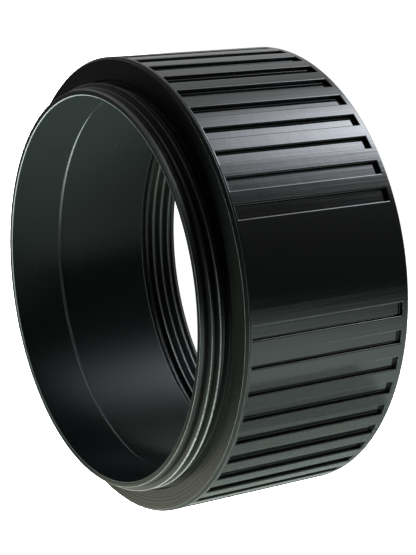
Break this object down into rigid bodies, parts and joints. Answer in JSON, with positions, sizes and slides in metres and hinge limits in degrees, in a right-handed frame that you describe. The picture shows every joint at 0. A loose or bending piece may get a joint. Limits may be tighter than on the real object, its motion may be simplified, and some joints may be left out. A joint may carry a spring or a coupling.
{
  "type": "threaded extension ring",
  "caption": "Black extension ring for a Barlow lens or telescope camera train, with a fluted grip, a male front thread and an open bore with a female rear thread.",
  "frame": {"origin": "on the optical axis, in the plane of the rear face that the ring stands on", "axes": "+Z along the optical axis towards the male thread; -Y towards the middle of the grip's plain band"},
  "size_m": [0.047, 0.047, 0.0219],
  "materials": {
    "moulded_plastic": "gloss black moulded",
    "anodised_aluminium": "matt black anodised",
    "bore_paint": "matt black painted aluminium",
    "turned_aluminium": "satin black turned"
  },
  "bodies": {
    "root": {"grip_sleeve": "moulded_plastic", "front_mount": "anodised_aluminium", "inner_tube": "bore_paint", "rear_thread_ring": "turned_aluminium"}
  },
  "joints": []
}
